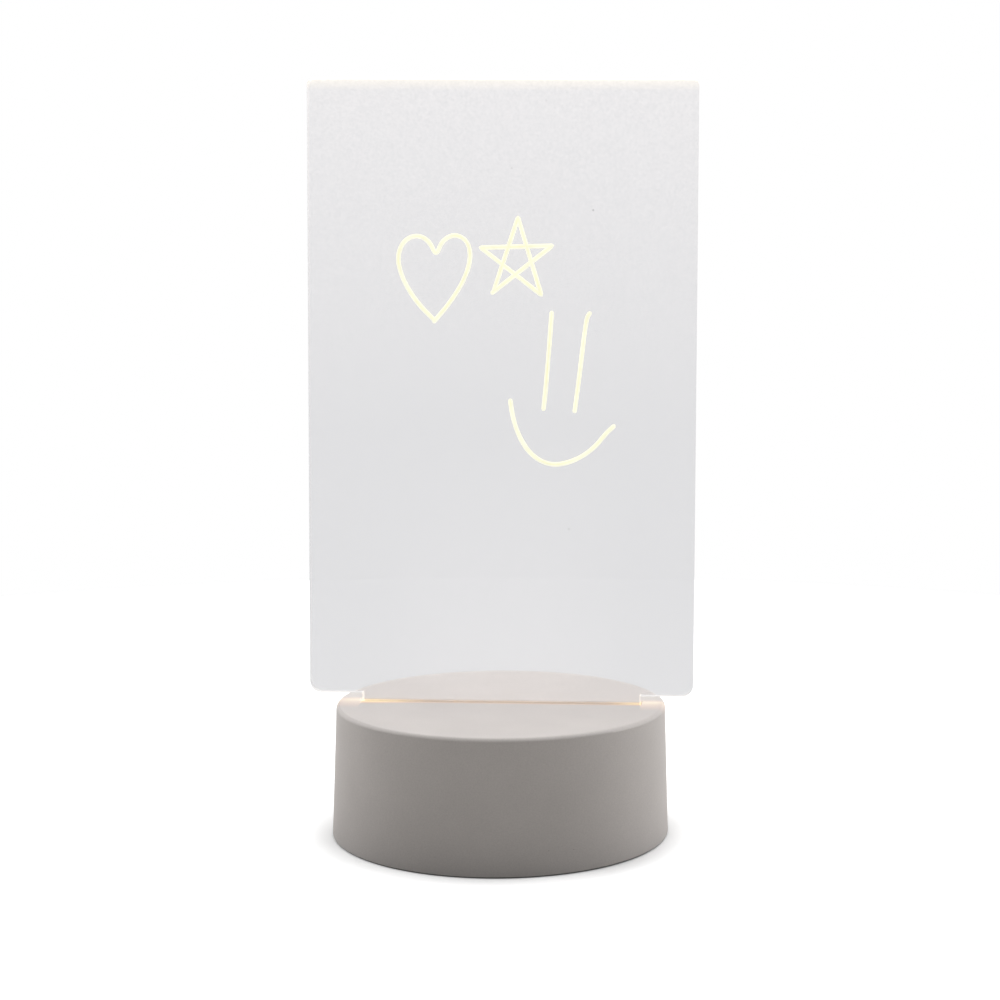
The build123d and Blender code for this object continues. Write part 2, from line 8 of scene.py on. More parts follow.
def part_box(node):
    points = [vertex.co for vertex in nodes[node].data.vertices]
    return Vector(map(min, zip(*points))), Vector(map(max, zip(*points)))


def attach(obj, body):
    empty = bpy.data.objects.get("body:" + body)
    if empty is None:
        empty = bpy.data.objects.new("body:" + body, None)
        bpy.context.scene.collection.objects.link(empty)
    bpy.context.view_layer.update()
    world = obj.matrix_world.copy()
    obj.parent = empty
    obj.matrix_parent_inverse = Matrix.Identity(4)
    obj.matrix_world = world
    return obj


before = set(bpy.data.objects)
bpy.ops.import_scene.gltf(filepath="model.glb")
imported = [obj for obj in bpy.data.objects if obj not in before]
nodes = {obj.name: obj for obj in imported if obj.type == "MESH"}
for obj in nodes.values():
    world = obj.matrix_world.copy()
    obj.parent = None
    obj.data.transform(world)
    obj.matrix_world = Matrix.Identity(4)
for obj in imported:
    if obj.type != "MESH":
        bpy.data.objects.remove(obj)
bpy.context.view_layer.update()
MM = 0.001

# Levels and places, in metres, that finishes and pieces follow
SHELL_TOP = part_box("base_shell")[1].z
SHELL_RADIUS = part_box("base_shell")[1].x
BOARD_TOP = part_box("memo_board")[1].z
BOARD_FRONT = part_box("memo_board")[0].y
SHOULDER = SHELL_TOP + 2.5 * MM
TONGUE_END = 43.5 * MM
SLOT_END = 44.0 * MM
SLOT_SIDE = 2.5 * MM

# The values that a noise mostly stays within, and the middle part of them
NOISE_SPAN = {"From Min": 0.3, "From Max": 0.7}
NOISE_CORE = {"From Min": 0.35, "From Max": 0.65}

# Camera: the photograph's viewing angle
camera_data = bpy.data.cameras.new("camera")
camera = bpy.data.objects.new("camera", camera_data)
bpy.context.scene.collection.objects.link(camera)
camera.location = (0.04973, -0.56149, 0.16142)
camera.rotation_euler = [math.radians(turn) for turn in (85.7526, -0.3586, 1.9960)]
camera_data.lens = 65.450
camera_data.shift_x = -0.10
camera_data.shift_y = -0.05
camera_data.clip_start = 0.01
bpy.context.scene.camera = camera
bpy.context.scene.view_settings.view_transform = "Standard"


def linear(hex_colour):
    """The linear colour, with an alpha of 1, of an sRGB hex value."""
    channels = [int(hex_colour[i:i + 2], 16) / 255 for i in (1, 3, 5)]
    return [c / 12.92 if c <= 0.04045 else ((c + 0.055) / 1.055) ** 2.4 for c in channels] + [1.0]


def add(tree, kind, inputs=None, **settings):
    """Adds a node. An input is a value for its socket, or an output socket to link to it."""
    made = tree.nodes.new(kind)
    for name, value in settings.items():
        setattr(made, name, value)
    for socket, value in (inputs or {}).items():
        if isinstance(value, bpy.types.NodeSocket):
            tree.links.new(value, made.inputs[socket])
        else:
            made.inputs[socket].default_value = value
    return made


def new_material(name):
    """An empty node material with its output node."""
    material = bpy.data.materials.new(name)
    material.use_nodes = True
    material.node_tree.nodes.clear()
    return material, material.node_tree, add(material.node_tree, "ShaderNodeOutputMaterial")


def moulded(name, colour, roughness, grain_mm, bump_mm, mottle=0.04, drawn=1.0, **sockets):
    """A solid finish: slight mottling, a grain in its relief and an uneven gloss. The grain is drawn
    coarser than it is, so that it shows. drawn stretches it along Y, as on drawn metal."""
    cloud_size = 12 * MM
    roughness_swing = 0.06
    material, tree, output = new_material(name)
    place = add(tree, "ShaderNodeTexCoord").outputs["Object"]
    stretched = add(tree, "ShaderNodeVectorMath", {0: place, 1: (1, 1 / drawn, 1)}, operation="MULTIPLY")
    grain = add(tree, "ShaderNodeTexNoise", {
        "Vector": stretched.outputs[0], "Scale": 1 / (grain_mm * MM), "Detail": 2.0, "Roughness": 0.6})
    clouds = add(tree, "ShaderNodeTexNoise", {
        "Vector": place, "Scale": 1 / cloud_size, "Detail": 3.0, "Roughness": 0.5})
    shade = add(tree, "ShaderNodeMapRange", {
        "Value": clouds.outputs[0], **NOISE_SPAN, "To Min": 1 - mottle, "To Max": 1 + mottle})
    colouring = add(tree, "ShaderNodeVectorMath", {
        0: linear(colour)[:3], "Scale": shade.outputs[0]}, operation="SCALE")
    gloss = add(tree, "ShaderNodeMapRange", {
        "Value": grain.outputs[0], **NOISE_SPAN,
        "To Min": roughness - roughness_swing, "To Max": roughness + roughness_swing})
    relief = add(tree, "ShaderNodeBump", {
        "Height": grain.outputs[0], "Strength": 1.0, "Distance": bump_mm * MM})
    surface = add(tree, "ShaderNodeBsdfPrincipled", {
        "Base Color": colouring.outputs[0], "Roughness": gloss.outputs[0],
        "Normal": relief.outputs[0], **sockets})
    tree.links.new(surface.outputs[0], output.inputs[0])
    return material


def overlay(material, colour, source, operation, *limits):
    """Gives a part of a metal finish another colour and no metal: where operation on a coordinate gives 1."""
    tree = material.node_tree
    surface = next(node for node in tree.nodes if node.type == "BSDF_PRINCIPLED")
    place = add(tree, "ShaderNodeTexCoord").outputs["Object"]
    spot = add(tree, "ShaderNodeSeparateXYZ", {0: place})
    part = add(tree, "ShaderNodeMath", {
        0: spot.outputs[source], **dict(enumerate(limits, 1))}, operation=operation).outputs[0]
    before = surface.inputs["Base Color"].links[0].from_socket
    mixed = add(tree, "ShaderNodeMix", {0: part, 6: before, 7: linear(colour)}, data_type="RGBA")
    tree.links.new(mixed.outputs[2], surface.inputs["Base Color"])
    bare = add(tree, "ShaderNodeMath", {0: 1.0, 1: part}, operation="SUBTRACT")
    tree.links.new(bare.outputs[0], surface.inputs["Metallic"])


def printed_tracks(material, colour, plane, width_mm):
    """Copper tracks under a board's solder mask, which show as paler lines and stand out a little."""
    track_length = 7.3 * MM
    track_spacing = 1.9 * MM
    track_rise = 0.03 * MM
    tree = material.node_tree
    surface = next(node for node in tree.nodes if node.type == "BSDF_PRINCIPLED")
    relief = surface.inputs["Normal"].links[0].from_node
    place = add(tree, "ShaderNodeTexCoord").outputs["Object"]
    spot = add(tree, "ShaderNodeSeparateXYZ", {0: place})
    flat = add(tree, "ShaderNodeCombineXYZ", {0: spot.outputs[plane[0]], 1: spot.outputs[plane[1]]})
    tracks = add(tree, "ShaderNodeTexBrick", {
        "Vector": flat.outputs[0], "Scale": 1.0, "Mortar Size": width_mm * MM, "Mortar Smooth": 0.3,
        "Brick Width": track_length, "Row Height": track_spacing}, offset=0.37)
    before = surface.inputs["Base Color"].links[0].from_socket
    mixed = add(tree, "ShaderNodeMix", {
        0: tracks.outputs["Fac"], 6: before, 7: linear(colour)}, data_type="RGBA")
    tree.links.new(mixed.outputs[2], surface.inputs["Base Color"])
    standing = add(tree, "ShaderNodeBump", {
        "Height": tracks.outputs["Fac"], "Strength": 1.0, "Distance": track_rise,
        "Normal": relief.outputs[0]})
    tree.links.new(standing.outputs[0], surface.inputs["Normal"])


def spark_eroded_abs_painted_slot_light():
    """The base: ABS moulded in a spark-eroded tool, which leaves a dead-matte, faintly sandy skin. A few
    dark specks lie in it. The slot's light is painted on as a glow: on the slot's walls, on the lip in
    front of it and on the top beside the tongue's ends."""
    # The grit is drawn coarser than it is, so that it shows
    grit_size = 0.45 * MM
    grit_rise = 0.012 * MM
    cloud_size = 18 * MM
    speck_spacing = 7 * MM
    # As parts of the spacing
    speck_radius = 0.012
    speck_edge = 0.022
    material, tree, output = new_material("warm_grey_abs_spark_eroded_painted_slot_light")
    place = add(tree, "ShaderNodeTexCoord").outputs["Object"]
    grit = add(tree, "ShaderNodeTexNoise", {
        "Vector": place, "Scale": 1 / grit_size, "Detail": 3.0, "Roughness": 0.65})
    clouds = add(tree, "ShaderNodeTexNoise", {
        "Vector": place, "Scale": 1 / cloud_size, "Detail": 3.0, "Roughness": 0.5})
    cells = add(tree, "ShaderNodeTexVoronoi", {"Vector": place, "Scale": 1 / speck_spacing})
    speck = add(tree, "ShaderNodeMapRange", {
        "Value": cells.outputs["Distance"], "From Min": speck_radius, "From Max": speck_edge,
        "To Min": 0.55, "To Max": 1.0})
    shade = add(tree, "ShaderNodeMapRange", {
        "Value": clouds.outputs[0], **NOISE_SPAN, "To Min": 0.975, "To Max": 1.025})
    sand = add(tree, "ShaderNodeMapRange", {
        "Value": grit.outputs[0], **NOISE_SPAN, "To Min": 0.95, "To Max": 1.05})
    for factor in (speck, sand):
        shade = add(tree, "ShaderNodeMath", {0: shade.outputs[0], 1: factor.outputs[0]}, operation="MULTIPLY")
    colouring = add(tree, "ShaderNodeVectorMath", {
        0: linear("#d5cfcb")[:3], "Scale": shade.outputs[0]}, operation="SCALE")
    gloss = add(tree, "ShaderNodeMapRange", {
        "Value": grit.outputs[0], **NOISE_SPAN, "To Min": 0.58, "To Max": 0.72})
    relief = add(tree, "ShaderNodeBump", {"Height": grit.outputs[0], "Strength": 1.0, "Distance": grit_rise})

    # Where a point lies: within the slot, towards one of its ends, or on the top
    spot = add(tree, "ShaderNodeSeparateXYZ", {0: place})
    across = add(tree, "ShaderNodeMath", {0: spot.outputs["X"]}, operation="ABSOLUTE")
    beside = add(tree, "ShaderNodeMath", {0: spot.outputs["Y"]}, operation="ABSOLUTE")
    in_width = add(tree, "ShaderNodeMapRange", {
        "Value": beside.outputs[0], "From Min": SLOT_SIDE + 0.02 * MM, "From Max": SLOT_SIDE + 0.35 * MM,
        "To Min": 1.0, "To Max": 0.0})
    in_length = add(tree, "ShaderNodeMapRange", {
        "Value": across.outputs[0], "From Min": TONGUE_END + 0.1 * MM, "From Max": SLOT_END - 0.1 * MM,
        "To Min": 1.0, "To Max": 0.0})
    in_height = add(tree, "ShaderNodeMapRange", {
        "Value": spot.outputs["Z"], "From Min": SHELL_TOP - 3.0 * MM, "From Max": SHELL_TOP - 2.5 * MM})
    in_slot = in_width
    for factor in (in_length, in_height):
        in_slot = add(tree, "ShaderNodeMath", {
            0: in_slot.outputs[0], 1: factor.outputs[0]}, operation="MULTIPLY")
    to_left = add(tree, "ShaderNodeMapRange", {
        "Value": spot.outputs["X"], "From Min": -20 * MM, "From Max": -42 * MM},
        interpolation_type="SMOOTHSTEP")
    to_right = add(tree, "ShaderNodeMapRange", {
        "Value": spot.outputs["X"], "From Min": 31 * MM, "From Max": 43 * MM},
        interpolation_type="SMOOTHSTEP")
    to_end = add(tree, "ShaderNodeMath", {0: to_left.outputs[0], 1: to_right.outputs[0]}, operation="MAXIMUM")
    on_top = add(tree, "ShaderNodeMapRange", {
        "Value": spot.outputs["Z"], "From Min": SHELL_TOP - 2.5 * MM, "From Max": SHELL_TOP - 0.5 * MM})

    # Painted light: the slot's walls glow, most of all towards its ends
    slot_light = add(tree, "ShaderNodeMapRange", {"Value": to_end.outputs[0], "To Min": 0.15, "To Max": 0.53})
    slot_light = add(tree, "ShaderNodeMath", {
        0: in_slot.outputs[0], 1: slot_light.outputs[0]}, operation="MULTIPLY")
    slot_tint = add(tree, "ShaderNodeMix", {
        0: to_end.outputs[0], 6: linear("#ffc46f"), 7: linear("#ffe295")}, data_type="RGBA")

    # A painted pool of light on the top beside the tongue's ends, for the light that leaves them; it
    # fades towards the front. At the right it lies a little further back.
    spill_strength = 0.265
    spill = add(tree, "ShaderNodeMapRange", {
        "Value": across.outputs[0], "From Min": TONGUE_END - 0.2 * MM, "From Max": TONGUE_END + 0.2 * MM})
    to_rim = add(tree, "ShaderNodeMapRange", {
        "Value": across.outputs[0], "From Min": 48 * MM, "From Max": SHELL_RADIUS,
        "To Min": 1.0, "To Max": 0.6})
    shifted = add(tree, "ShaderNodeMath", {
        0: to_right.outputs[0], 1: -1.2 * MM, 2: spot.outputs["Y"]}, operation="MULTIPLY_ADD")
    to_front = add(tree, "ShaderNodeMapRange", {
        "Value": shifted.outputs[0], "From Min": -12.5 * MM, "From Max": -1.5 * MM})
    to_front = add(tree, "ShaderNodeMath", {0: to_front.outputs[0], 1: 1.15}, operation="POWER")
    to_back = add(tree, "ShaderNodeMapRange", {
        "Value": shifted.outputs[0], "From Min": 0.0, "From Max": 4.0 * MM, "To Min": 1.0, "To Max": 0.0})
    to_back = add(tree, "ShaderNodeMath", {0: to_back.outputs[0], 1: 1.6}, operation="POWER")
    for factor in (to_rim, to_front, to_back, on_top):
        spill = add(tree, "ShaderNodeMath", {0: spill.outputs[0], 1: factor.outputs[0]}, operation="MULTIPLY")
    spill_light = add(tree, "ShaderNodeMath", {0: spill.outputs[0], 1: spill_strength}, operation="MULTIPLY")
    spill_tint = add(tree, "ShaderNodeMix", {
        0: spill.outputs[0], 6: linear("#ff9408"), 7: linear("#ffe9b4")}, data_type="RGBA")

    # The lip in front of the slot is thin, so some of the slot's light comes through it: painted as a glow
    # and as a warmer colour of the lip
    lip_more_at_left = 0.24
    lip_reach = add(tree, "ShaderNodeMapRange", {
        "Value": to_left.outputs[0], "To Min": -5.0 * MM, "To Max": -6.5 * MM})
    lip = add(tree, "ShaderNodeMapRange", {
        "Value": spot.outputs["Y"], "From Min": lip_reach.outputs[0], "From Max": -SLOT_SIDE})
    in_front = add(tree, "ShaderNodeMath", {0: spot.outputs["Y"], 1: 0.0}, operation="LESS_THAN")
    for factor in (in_front, in_length, on_top):
        lip = add(tree, "ShaderNodeMath", {0: lip.outputs[0], 1: factor.outputs[0]}, operation="MULTIPLY")
    lip_light = add(tree, "ShaderNodeMapRange", {"Value": to_end.outputs[0], "To Min": 0.13, "To Max": 0.24})
    lip_light = add(tree, "ShaderNodeMath", {
        0: to_left.outputs[0], 1: lip_more_at_left, 2: lip_light.outputs[0]}, operation="MULTIPLY_ADD")
    lip_light = add(tree, "ShaderNodeMath", {
        0: lip.outputs[0], 1: lip_light.outputs[0]}, operation="MULTIPLY")
    lip_tint = add(tree, "ShaderNodeMix", {
        0: to_left.outputs[0], 6: linear("#ffb21c"), 7: linear("#ffe06c")}, data_type="RGBA")
    lip_painted_warmth = add(tree, "ShaderNodeMix", {
        0: lip.outputs[0], 6: linear("#ffffff"), 7: linear("#fdf6ee")}, data_type="RGBA")
    colouring = add(tree, "ShaderNodeVectorMath", {
        0: colouring.outputs[0], 1: lip_painted_warmth.outputs[2]}, operation="MULTIPLY")

    # The three painted lights together
    glow = add(tree, "ShaderNodeMath", {0: slot_light.outputs[0], 1: spill_light.outputs[0]}, operation="ADD")
    glow = add(tree, "ShaderNodeMath", {0: glow.outputs[0], 1: lip_light.outputs[0]}, operation="ADD")
    glow_tint = add(tree, "ShaderNodeMix", {
        0: lip.outputs[0], 6: spill_tint.outputs[2], 7: lip_tint.outputs[2]}, data_type="RGBA")
    glow_tint = add(tree, "ShaderNodeMix", {
        0: in_slot.outputs[0], 6: glow_tint.outputs[2], 7: slot_tint.outputs[2]}, data_type="RGBA")
    surface = add(tree, "ShaderNodeBsdfPrincipled", {
        "Base Color": colouring.outputs[0], "Roughness": gloss.outputs[0], "Normal": relief.outputs[0],
        "Emission Color": glow_tint.outputs[2], "Emission Strength": glow.outputs[0],
        "Specular IOR Level": 0.35})
    tree.links.new(surface.outputs[0], output.inputs[0])
    return material


def cast_acrylic():
    """The memo board: cast acrylic, cut by laser. Its faces are clear but faintly hazy, which is painted as a
    pale glow, with a few specks of dust. The light that travels inside it and leaves at its cut edges, most
    of all beside the LEDs, is painted as a glow."""
    haze_grain_size = 0.8 * MM
    wiping_size = 30 * MM
    end_line_half = 0.26 * MM
    dust_spacing = 16 * MM
    # As parts of the spacing
    dust_radius = 0.016
    dust_edge = 0.026
    material, tree, output = new_material("clear_cast_acrylic_laser_cut_painted_glow")
    place = add(tree, "ShaderNodeTexCoord").outputs["Object"]
    spot = add(tree, "ShaderNodeSeparateXYZ", {0: place})
    height = spot.outputs["Z"]
    across = add(tree, "ShaderNodeMath", {0: spot.outputs["X"]}, operation="ABSOLUTE")

    # Painted warm light at the cut edges, in a band under the top edge and on a line at the tongue's ends
    geometry = add(tree, "ShaderNodeNewGeometry")
    facing = add(tree, "ShaderNodeSeparateXYZ", {0: geometry.outputs["Normal"]})
    facing = add(tree, "ShaderNodeMath", {0: facing.outputs["Y"]}, operation="ABSOLUTE")
    cut_edge = add(tree, "ShaderNodeMapRange", {
        "Value": facing.outputs[0], "From Min": 0.5, "From Max": 0.9, "To Min": 1.0, "To Max": 0.0})
    near_leds = add(tree, "ShaderNodeMapRange", {
        "Value": height, "From Min": SHOULDER + 0.1 * MM, "From Max": SHOULDER + 2.5 * MM,
        "To Min": 0.161, "To Max": 0.010}, interpolation_type="SMOOTHSTEP")
    at_top = add(tree, "ShaderNodeMapRange", {
        "Value": height, "From Min": BOARD_TOP - 0.6 * MM, "From Max": BOARD_TOP - 0.2 * MM,
        "To Min": 0.0, "To Max": 0.312})
    edge_light = add(tree, "ShaderNodeMath", {0: near_leds.outputs[0], 1: at_top.outputs[0]}, operation="ADD")
    edge_light = add(tree, "ShaderNodeMath", {
        0: edge_light.outputs[0], 1: cut_edge.outputs[0]}, operation="MULTIPLY")
    top_band = add(tree, "ShaderNodeMapRange", {
        "Value": height, "From Min": BOARD_TOP - 3.4 * MM, "From Max": BOARD_TOP,
        "To Min": 0.0, "To Max": 0.080})
    at_end = add(tree, "ShaderNodeMath", {
        0: across.outputs[0], 1: TONGUE_END, 2: end_line_half}, operation="COMPARE")
    below_shoulder = add(tree, "ShaderNodeMapRange", {
        "Value": height, "From Min": SHOULDER + 0.1 * MM, "From Max": SHOULDER + 0.4 * MM,
        "To Min": 0.135, "To Max": 0.0})
    end_line = add(tree, "ShaderNodeMath", {
        0: at_end.outputs[0], 1: below_shoulder.outputs[0]}, operation="MULTIPLY")
    warm_light = edge_light
    for part in (top_band, end_line):
        warm_light = add(tree, "ShaderNodeMath", {
            0: warm_light.outputs[0], 1: part.outputs[0]}, operation="ADD")

    # Pale painted glow that stands in for light scattered by haze: more of it high up, and a little low in
    # the middle, nearer the LEDs. The haze is fine dust, drawn coarser than it is, so that it shows.
    haze_glow = add(tree, "ShaderNodeMapRange", {
        "Value": height, "From Min": 125 * MM, "From Max": BOARD_TOP, "To Min": 0.006, "To Max": 0.054})
    low_down = add(tree, "ShaderNodeMapRange", {
        "Value": height, "From Min": 60 * MM, "From Max": 130 * MM, "To Min": 0.014, "To Max": 0.0})
    to_middle = add(tree, "ShaderNodeMapRange", {
        "Value": across.outputs[0], "From Min": 10 * MM, "From Max": 50 * MM, "To Min": 1.0, "To Max": 0.0},
        interpolation_type="SMOOTHSTEP")
    low_middle = add(tree, "ShaderNodeMath", {
        0: low_down.outputs[0], 1: to_middle.outputs[0]}, operation="MULTIPLY")
    haze_glow = add(tree, "ShaderNodeMath", {0: haze_glow.outputs[0], 1: low_middle.outputs[0]}, operation="ADD")
    grain = add(tree, "ShaderNodeTexNoise", {
        "Vector": place, "Scale": 1 / haze_grain_size, "Detail": 2.0, "Roughness": 0.7})
    grain = add(tree, "ShaderNodeMapRange", {
        "Value": grain.outputs[0], **NOISE_CORE, "To Min": 0.55, "To Max": 1.45})
    haze_glow = add(tree, "ShaderNodeMath", {0: haze_glow.outputs[0], 1: grain.outputs[0]}, operation="MULTIPLY")

    # Both painted lights together, yellower further from the LEDs
    light = add(tree, "ShaderNodeMath", {0: warm_light.outputs[0], 1: haze_glow.outputs[0]}, operation="ADD")
    warmth = add(tree, "ShaderNodeMath", {0: warm_light.outputs[0], 1: light.outputs[0]}, operation="DIVIDE")
    far_up = add(tree, "ShaderNodeMapRange", {"Value": height, "From Min": 60 * MM, "From Max": 200 * MM})
    warm_tint = add(tree, "ShaderNodeMix", {
        0: far_up.outputs[0], 6: linear("#fff0dc"), 7: linear("#ffe6a0")}, data_type="RGBA")
    tint = add(tree, "ShaderNodeMix", {
        0: warmth.outputs[0], 6: linear("#fff3ee"), 7: warm_tint.outputs[2]}, data_type="RGBA")

    # Dust specks, and a gloss that wiping has left uneven
    cells = add(tree, "ShaderNodeTexVoronoi", {"Vector": place, "Scale": 1 / dust_spacing})
    dust = add(tree, "ShaderNodeMapRange", {
        "Value": cells.outputs["Distance"], "From Min": dust_radius, "From Max": dust_edge,
        "To Min": 0.35, "To Max": 1.0})
    colouring = add(tree, "ShaderNodeVectorMath", {
        0: linear("#f7f7f8")[:3], "Scale": dust.outputs[0]}, operation="SCALE")
    wiping = add(tree, "ShaderNodeTexNoise", {
        "Vector": place, "Scale": 1 / wiping_size, "Detail": 4.0, "Roughness": 0.6})
    gloss = add(tree, "ShaderNodeMapRange", {
        "Value": wiping.outputs[0], **NOISE_CORE, "To Min": 0.0, "To Max": 0.03})
    surface = add(tree, "ShaderNodeBsdfPrincipled", {
        "Base Color": colouring.outputs[0], "Roughness": gloss.outputs[0], "IOR": 1.49,
        "Transmission Weight": 0.95, "Emission Color": tint.outputs[2],
        "Emission Strength": light.outputs[0]})
    clear = add(tree, "ShaderNodeBsdfTransparent", {"Color": linear("#e9e9eb")})
    rays = add(tree, "ShaderNodeLightPath")
    mixed = add(tree, "ShaderNodeMixShader", {
        0: rays.outputs["Is Shadow Ray"], 1: surface.outputs[0], 2: clear.outputs[0]})
    tree.links.new(mixed.outputs[0], output.inputs[0])
    return material


def marker_ink():
    """Fluorescent ink with a painted glow for the board's light that meets it, yellower along a stroke's
    middle, where it lies thickest, and almost white at its rims."""
    pressure_length = 9 * MM
    blotch_size = 1.6 * MM
    material, tree, output = new_material("fluorescent_marker_ink")
    place = add(tree, "ShaderNodeTexCoord").outputs["Object"]
    rise = add(tree, "ShaderNodeSeparateXYZ", {0: place})
    crest = add(tree, "ShaderNodeMapRange", {
        "Value": rise.outputs["Y"],
        "From Min": BOARD_FRONT - 0.085 * MM, "From Max": BOARD_FRONT - 0.115 * MM})
    pressure = add(tree, "ShaderNodeTexNoise", {
        "Vector": place, "Scale": 1 / pressure_length, "Detail": 2.0, "Roughness": 0.5})
    pressure = add(tree, "ShaderNodeMapRange", {
        "Value": pressure.outputs[0], **NOISE_CORE, "To Min": 0.35, "To Max": 1.0})
    crest = add(tree, "ShaderNodeMath", {0: crest.outputs[0], 1: pressure.outputs[0]}, operation="MULTIPLY")
    geometry = add(tree, "ShaderNodeNewGeometry")
    facing = add(tree, "ShaderNodeSeparateXYZ", {0: geometry.outputs["True Normal"]})
    on_board = add(tree, "ShaderNodeMapRange", {
        "Value": facing.outputs["Y"], "From Min": 0.5, "From Max": 0.9, "To Min": 0.0, "To Max": 0.7})
    crest = add(tree, "ShaderNodeMath", {0: crest.outputs[0], 1: on_board.outputs[0]}, operation="MAXIMUM")
    blotches = add(tree, "ShaderNodeTexNoise", {
        "Vector": place, "Scale": 1 / blotch_size, "Detail": 3.0, "Roughness": 0.6})
    strength = add(tree, "ShaderNodeMapRange", {
        "Value": blotches.outputs[0], **NOISE_SPAN, "To Min": 0.80, "To Max": 0.88})
    tint = add(tree, "ShaderNodeMix", {
        0: crest.outputs[0], 6: linear("#fbfcef"), 7: linear("#f5f4d3")}, data_type="RGBA")
    surface = add(tree, "ShaderNodeBsdfPrincipled", {
        "Base Color": linear("#b9b384"), "Roughness": 0.55,
        "Emission Color": tint.outputs[2], "Emission Strength": strength.outputs[0]})
    tree.links.new(surface.outputs[0], output.inputs[0])
    return material


# LEDs: white packages through which a little of the light comes
LED_LIGHT = linear("#ffd690")
led_white = moulded("white_led_package", "#f0ece0", 0.45, 0.3, 0.004, mottle=0.03, **{
    "Emission Color": LED_LIGHT, "Emission Strength": 0.6})

# Resistors: black glass over the middle of a ceramic body, between tinned ends
GLAZE_HALF = 0.62 * MM
low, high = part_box("led_resistors")
led_resistor = moulded("tinned_ends_black_glaze", "#c9cacc", 0.30, 0.2, 0.003, Metallic=1.0)
overlay(led_resistor, "#232327", "Y", "COMPARE", (low.y + high.y) / 2, GLAZE_HALF)
low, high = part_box("board_resistors")
board_resistor = moulded("tinned_ends_black_glaze_upright", "#c9cacc", 0.30, 0.2, 0.003, Metallic=1.0)
overlay(board_resistor, "#232327", "Z", "COMPARE", (low.z + high.z) / 2, GLAZE_HALF)

# Driver chip: black epoxy with a fine filler, and tinned legs that stand beside its 3.9 mm body
CHIP_HALF = 1.96 * MM
low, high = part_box("driver_chip")
chip_epoxy = moulded("tinned_legs_black_epoxy", "#c4c5c8", 0.50, 0.2, 0.008, mottle=0.08, Metallic=1.0)
overlay(chip_epoxy, "#26262a", "X", "COMPARE", (low.x + high.x) / 2, CHIP_HALF)

# Capacitor: a drawn aluminium can on a black base
CAN_BASE_HEIGHT = 0.9 * MM
can_metal = moulded("drawn_aluminium_can", "#cfd1d4", 0.30, 0.3, 0.004, drawn=8.0, Metallic=1.0)
overlay(can_metal, "#202022", "Y", "GREATER_THAN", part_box("filter_capacitor")[1].y - CAN_BASE_HEIGHT)

# LED board: fibreglass laminate under white solder mask, over its tracks
white_board = moulded("white_solder_mask", "#eceae4", 0.38, 0.4, 0.005)
printed_tracks(white_board, "#dcd6c4", "XY", 0.10)

# Control board: fibreglass laminate under green solder mask, over its tracks
green_board = moulded("green_solder_mask", "#1e6a3c", 0.32, 0.8, 0.012, mottle=0.08)
printed_tracks(green_board, "#3b9159", "XZ", 0.13)

# Every CAD node's finish
finishes = (
    ("base_shell", spark_eroded_abs_painted_slot_light()),
    ("memo_board", cast_acrylic()),
    ("led_1 led_2 led_3 led_4 led_5 led_6 led_7 led_8", led_white),
    ("led_resistors", led_resistor),
    ("board_resistors", board_resistor),
    ("driver_chip", chip_epoxy),
    ("filter_capacitor", can_metal),
    ("led_board", white_board),
    ("control_board", green_board),
    # Cover: the same ABS as the shell, a shade greyer, with a coarser grain underneath
    ("bottom_cover", moulded("warm_grey_abs_cover", "#c9c3bd", 0.68, 0.6, 0.02)),
    # Screws: zinc-plated steel, bright with fine turning marks
    ("cover_screws trough_screws", moulded("zinc_plated_steel", "#b9bbbf", 0.34, 0.25, 0.004, Metallic=1.0)),
    # Feet: silicone rubber, soft and almost without gloss
    ("foot_1 foot_2 foot_3 foot_4", moulded(
        "dark_grey_silicone_rubber", "#34353a", 0.82, 0.5, 0.02, mottle=0.08)),
    # Trough and clamp: white polycarbonate, satin, which passes light on
    ("light_trough clamp_plate", moulded("white_polycarbonate", "#ecebe6", 0.42, 0.5, 0.006)),
    # Inlet shell: nickel-plated steel, bright, with a haze drawn out along its length
    ("inlet_shell", moulded("nickel_plated_steel", "#c6c4bf", 0.26, 0.3, 0.004, drawn=10.0, Metallic=1.0)),
    # Inlet tongue: black liquid-crystal polymer, satin
    ("inlet_insulator", moulded("black_liquid_crystal_polymer", "#1f1f22", 0.45, 0.3, 0.006)),
    # Switch: black nylon body with a natural acetal plunger
    ("switch_housing", moulded("black_nylon", "#232326", 0.55, 0.3, 0.008)),
    ("switch_plunger", moulded("natural_acetal", "#e6e3d9", 0.40, 0.4, 0.005)),
    # Button: ABS like the shell with a closer grain, polished by fingers to a low sheen
    ("power_button", moulded("warm_grey_abs_button", "#d2ccc6", 0.46, 0.35, 0.006, mottle=0.025)),
    # Connector: natural nylon, milky
    ("lead_header lead_plug", moulded("natural_nylon", "#e3dcc6", 0.46, 0.4, 0.006)),
    # Leads: PVC sleeves, satin, with a faint wave from their extruder
    ("positive_lead", moulded("red_pvc_sleeve", "#a3201d", 0.40, 0.5, 0.006)),
    ("negative_lead", moulded("black_pvc_sleeve", "#202022", 0.40, 0.5, 0.006)),
)
for names, material in finishes:
    for name in names.split():
        nodes[name].data.materials[0] = material


def piece(name, shape, material, body):
    """An object made from a bmesh, with its finish, that moves with a body."""
    mesh = bpy.data.meshes.new(name)
    shape.to_mesh(mesh)
    shape.free()
    made = bpy.data.objects.new(name, mesh)
    bpy.context.scene.collection.objects.link(made)
    mesh.materials.append(material)
    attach(made, body)


def blocks(name, places, size, rounding, material):
    """One piece of equal small blocks with rounded edges, on the base. All lengths in metres."""
    shape = bmesh.new()
    for place in places:
        bmesh.ops.create_cube(shape, size=1.0, matrix=Matrix.LocRotScale(Vector(place), None, Vector(size)))
    bmesh.ops.bevel(
        shape, geom=shape.edges[:], offset=rounding, affect="EDGES", segments=2, profile=0.5, material=-1)
    piece(name, shape, material, "base")


